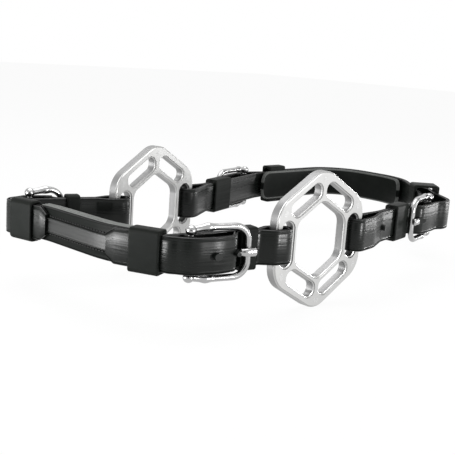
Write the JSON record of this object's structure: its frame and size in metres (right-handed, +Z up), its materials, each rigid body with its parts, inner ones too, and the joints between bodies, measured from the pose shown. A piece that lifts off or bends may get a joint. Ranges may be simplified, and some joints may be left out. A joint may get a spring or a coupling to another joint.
{
  "type": "hackamore noseband",
  "caption": "Bitless-bridle noseband: slotted hexagonal metal wheels joined by a padded nose strap and a lined chin strap with roller-knob buckles.",
  "frame": {"origin": "midway between the centres of the two wheels, at half the strap's width, in the horse's mid-plane as nearly as the loop lies", "axes": "+Z up along the wheels' height, -Y out of the near wheel's outer face, +X from the nose strap to the chin strap"},
  "size_m": [0.3448, 0.1794, 0.0816],
  "materials": {
    "wheel_steel": "satin with polished edges",
    "buckle_chrome": "polished",
    "strap_leather": "smooth bridle leather with an edge crease",
    "keeper_leather": "smooth",
    "padding_leather": "soft padded leather with stitching",
    "liner_leather": "soft grained leather"
  },
  "bodies": {
    "near_wheel": {"near_wheel": "wheel_steel"},
    "off_wheel": {"off_wheel": "wheel_steel"},
    "nose_strap": {"nose_band_outer": "strap_leather", "nose_band_raised_strip": "strap_leather", "nose_band_padding": "padding_leather", "near_nose_billet": "strap_leather", "near_nose_chape": "strap_leather", "near_nose_buckle_bar": "buckle_chrome", "near_nose_fixed_keeper": "keeper_leather", "off_nose_billet": "strap_leather", "off_nose_chape": "strap_leather", "off_nose_buckle_bar": "buckle_chrome", "off_nose_fixed_keeper": "keeper_leather"},
    "chin_strap": {"chin_band": "strap_leather", "chin_liner": "liner_leather", "near_chin_billet": "strap_leather", "near_chin_chape": "strap_leather", "near_chin_buckle_bar": "buckle_chrome", "near_chin_fixed_keeper": "keeper_leather", "off_chin_billet": "strap_leather", "off_chin_chape": "strap_leather", "off_chin_buckle_bar": "buckle_chrome", "off_chin_fixed_keeper": "keeper_leather"},
    "near_nose_frame": {"near_nose_buckle_frame": "buckle_chrome"},
    "near_nose_prong": {"near_nose_prong": "buckle_chrome"},
    "near_nose_keeper": {"near_nose_slide_keeper": "keeper_leather"},
    "off_nose_frame": {"off_nose_buckle_frame": "buckle_chrome"},
    "off_nose_prong": {"off_nose_prong": "buckle_chrome"},
    "off_nose_keeper": {"off_nose_slide_keeper": "keeper_leather"},
    "near_chin_frame": {"near_chin_buckle_frame": "buckle_chrome"},
    "near_chin_prong": {"near_chin_prong": "buckle_chrome"},
    "near_chin_keeper": {"near_chin_slide_keeper": "keeper_leather"},
    "off_chin_frame": {"off_chin_buckle_frame": "buckle_chrome"},
    "off_chin_prong": {"off_chin_prong": "buckle_chrome"},
    "off_chin_keeper": {"off_chin_slide_keeper": "keeper_leather"}
  },
  "joints": [
    {"name": "nose_strap_swing", "type": "hinge", "parent": "near_wheel", "child": "nose_strap", "pos_m": [-0.01985, -0.05945, 0], "axis": [0, 0, 1], "range_deg": [-8, 8]},
    {"name": "chin_strap_swing", "type": "hinge", "parent": "near_wheel", "child": "chin_strap", "pos_m": [0.05055, -0.05945, 0], "axis": [0, 0, 1], "range_deg": [-7.5, 7.5]},
    {"name": "off_wheel_swing", "type": "hinge", "parent": "nose_strap", "child": "off_wheel", "pos_m": [-0.05003, 0.0534, 0], "axis": [0, 0, 1], "range_deg": [-8, 8]},
    {"name": "near_nose_frame_lift", "type": "hinge", "parent": "nose_strap", "child": "near_nose_frame", "pos_m": [-0.0772, -0.05358, 0], "axis": [0, 0, -1], "range_deg": [0, 2]},
    {"name": "near_nose_prong_lift", "type": "hinge", "parent": "near_nose_frame", "child": "near_nose_prong", "pos_m": [-0.0772, -0.05358, 0], "axis": [0, 0, -1], "range_deg": [0, 2]},
    {"name": "near_nose_keeper_slide", "type": "slide", "parent": "nose_strap", "child": "near_nose_keeper", "axis": [0.9847, -0.174, 0], "range_m": [0, 0.0018]},
    {"name": "off_nose_frame_lift", "type": "hinge", "parent": "nose_strap", "child": "off_nose_frame", "pos_m": [-0.09896, 0.07287, 0], "axis": [0, 0, 1], "range_deg": [0, 2]},
    {"name": "off_nose_prong_lift", "type": "hinge", "parent": "off_nose_frame", "child": "off_nose_prong", "pos_m": [-0.09896, 0.07287, 0], "axis": [0, 0, 1], "range_deg": [0, 2]},
    {"name": "off_nose_keeper_slide", "type": "slide", "parent": "nose_strap", "child": "off_nose_keeper", "axis": [0.9557, -0.2945, 0], "range_m": [0, 0.008]},
    {"name": "near_chin_frame_lift", "type": "hinge", "parent": "chin_strap", "child": "near_chin_frame", "pos_m": [0.15504, -0.04112, 0], "axis": [0, 0, 1], "range_deg": [0, 2]},
    {"name": "near_chin_prong_lift", "type": "hinge", "parent": "near_chin_frame", "child": "near_chin_prong", "pos_m": [0.15504, -0.04112, 0], "axis": [0, 0, 1], "range_deg": [0, 2]},
    {"name": "near_chin_keeper_slide", "type": "slide", "parent": "chin_strap", "child": "near_chin_keeper", "axis": [-0.9774, -0.2116, 0], "range_m": [0, 0.015]},
    {"name": "off_chin_frame_lift", "type": "hinge", "parent": "chin_strap", "child": "off_chin_frame", "pos_m": [0.1116, 0.10427, 0], "axis": [0, 0, -1], "range_deg": [0, 2]},
    {"name": "off_chin_prong_lift", "type": "hinge", "parent": "off_chin_frame", "child": "off_chin_prong", "pos_m": [0.1116, 0.10427, 0], "axis": [0, 0, -1], "range_deg": [0, 2]},
    {"name": "off_chin_keeper_slide", "type": "slide", "parent": "chin_strap", "child": "off_chin_keeper", "axis": [-0.9374, -0.3484, 0], "range_m": [0, 0.008]}
  ],
  "couplings": [
    {"joint": "chin_strap_swing", "follows": "nose_strap_swing", "ratio": 0.906},
    {"joint": "off_wheel_swing", "follows": "nose_strap_swing", "ratio": -0.973}
  ]
}
